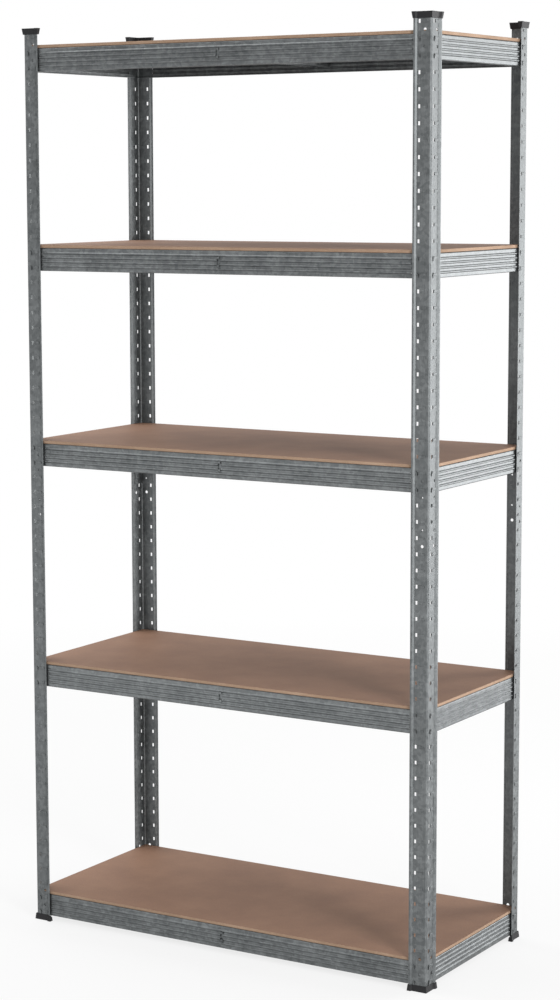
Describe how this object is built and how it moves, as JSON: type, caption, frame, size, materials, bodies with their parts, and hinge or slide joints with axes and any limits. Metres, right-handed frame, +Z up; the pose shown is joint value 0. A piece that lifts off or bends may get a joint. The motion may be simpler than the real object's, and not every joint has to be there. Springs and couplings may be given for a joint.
{
  "type": "boltless steel shelving",
  "caption": "Free-standing boltless shelving: slotted galvanised angle uprights, hooked ribbed beams, loose hardboard shelves, plastic caps and feet.",
  "frame": {"origin": "on the floor, under the middle of the rack", "axes": "+Z up, +X to the right along the width, +Y to the rear; the front faces -Y"},
  "size_m": [0.9116, 0.4116, 1.805],
  "materials": {
    "galvanised_steel": "hot-dip galvanised sheet",
    "hardboard": "smooth hardboard",
    "black_plastic": "moulded, matt"
  },
  "bodies": {
    "frame": {"post_lower_front_left": "galvanised_steel", "post_lower_front_right": "galvanised_steel", "post_lower_rear_left": "galvanised_steel", "post_lower_rear_right": "galvanised_steel", "post_upper_front_left": "galvanised_steel", "post_upper_front_right": "galvanised_steel", "post_upper_rear_left": "galvanised_steel", "post_upper_rear_right": "galvanised_steel", "splice_front_left": "galvanised_steel", "splice_front_right": "galvanised_steel", "splice_rear_left": "galvanised_steel", "splice_rear_right": "galvanised_steel", "cap_front_left": "black_plastic", "cap_front_right": "black_plastic", "cap_rear_left": "black_plastic", "cap_rear_right": "black_plastic", "foot_front_left": "black_plastic", "foot_front_right": "black_plastic", "foot_rear_left": "black_plastic", "foot_rear_right": "black_plastic", "front_beam_1": "galvanised_steel", "rear_beam_1": "galvanised_steel", "left_beam_1": "galvanised_steel", "right_beam_1": "galvanised_steel", "front_beam_2": "galvanised_steel", "rear_beam_2": "galvanised_steel", "left_beam_2": "galvanised_steel", "right_beam_2": "galvanised_steel", "front_beam_3": "galvanised_steel", "rear_beam_3": "galvanised_steel", "left_beam_3": "galvanised_steel", "right_beam_3": "galvanised_steel", "front_beam_4": "galvanised_steel", "rear_beam_4": "galvanised_steel", "left_beam_4": "galvanised_steel", "right_beam_4": "galvanised_steel", "front_beam_5": "galvanised_steel", "rear_beam_5": "galvanised_steel", "left_beam_5": "galvanised_steel", "right_beam_5": "galvanised_steel", "tie_bar_1": "galvanised_steel", "tie_bar_2": "galvanised_steel", "tie_bar_3": "galvanised_steel", "tie_bar_4": "galvanised_steel", "tie_bar_5": "galvanised_steel"},
    "board_1": {"board_1": "hardboard"},
    "board_2": {"board_2": "hardboard"},
    "board_3": {"board_3": "hardboard"},
    "board_4": {"board_4": "hardboard"},
    "board_5": {"board_5": "hardboard"}
  },
  "joints": [
    {"name": "board_1_lift", "type": "slide", "parent": "frame", "child": "board_1", "axis": [0, 0, 1], "range_m": [0, 0.42]},
    {"name": "board_2_lift", "type": "slide", "parent": "frame", "child": "board_2", "axis": [0, 0, 1], "range_m": [0, 0.315]},
    {"name": "board_3_lift", "type": "slide", "parent": "frame", "child": "board_3", "axis": [0, 0, 1], "range_m": [0, 0.335]},
    {"name": "board_4_lift", "type": "slide", "parent": "frame", "child": "board_4", "axis": [0, 0, 1], "range_m": [0, 0.335]},
    {"name": "board_5_lift", "type": "slide", "parent": "frame", "child": "board_5", "axis": [0, 0, 1], "range_m": [0, 0.018]}
  ]
}
